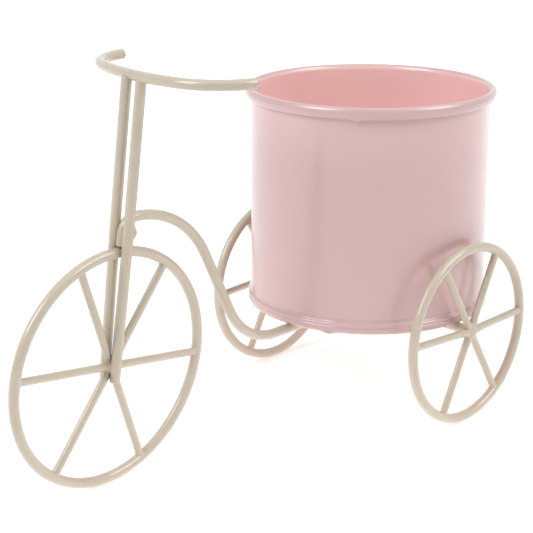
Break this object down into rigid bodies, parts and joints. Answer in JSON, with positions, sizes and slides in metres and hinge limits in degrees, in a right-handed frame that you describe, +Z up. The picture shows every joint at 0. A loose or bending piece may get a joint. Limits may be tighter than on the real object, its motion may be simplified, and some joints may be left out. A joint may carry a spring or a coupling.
{
  "type": "bicycle planter",
  "caption": "Round painted sheet-metal pot carried on a tricycle stand welded from bent steel wire, with a front fork and a handlebar",
  "frame": {"origin": "on the ground, under the middle of the whole planter", "axes": "+X towards the front wheel, +Y towards the left side of the bicycle, +Z up"},
  "size_m": [0.2422, 0.115, 0.158],
  "materials": {
    "pot_paint": "gloss pink paint",
    "wire_paint": "satin cream paint"
  },
  "bodies": {
    "root": {"frame_rod": "wire_paint", "front_half_spoke_1": "wire_paint", "front_half_spoke_2": "wire_paint", "front_half_spoke_3": "wire_paint", "front_half_spoke_4": "wire_paint", "front_through_spoke": "wire_paint", "front_wheel_rim": "wire_paint", "handlebar": "wire_paint", "head_weld": "wire_paint", "left_fork_leg": "wire_paint", "left_rear_half_spoke_1": "wire_paint", "left_rear_half_spoke_2": "wire_paint", "left_rear_half_spoke_3": "wire_paint", "left_rear_half_spoke_4": "wire_paint", "left_rear_hub_weld": "wire_paint", "left_rear_through_spoke": "wire_paint", "left_rear_wheel_rim": "wire_paint", "pot_base": "pot_paint", "pot_wall": "pot_paint", "rear_axle": "wire_paint", "right_fork_leg": "wire_paint", "right_rear_half_spoke_1": "wire_paint", "right_rear_half_spoke_2": "wire_paint", "right_rear_half_spoke_3": "wire_paint", "right_rear_half_spoke_4": "wire_paint", "right_rear_hub_weld": "wire_paint", "right_rear_through_spoke": "wire_paint", "right_rear_wheel_rim": "wire_paint"}
  },
  "joints": []
}
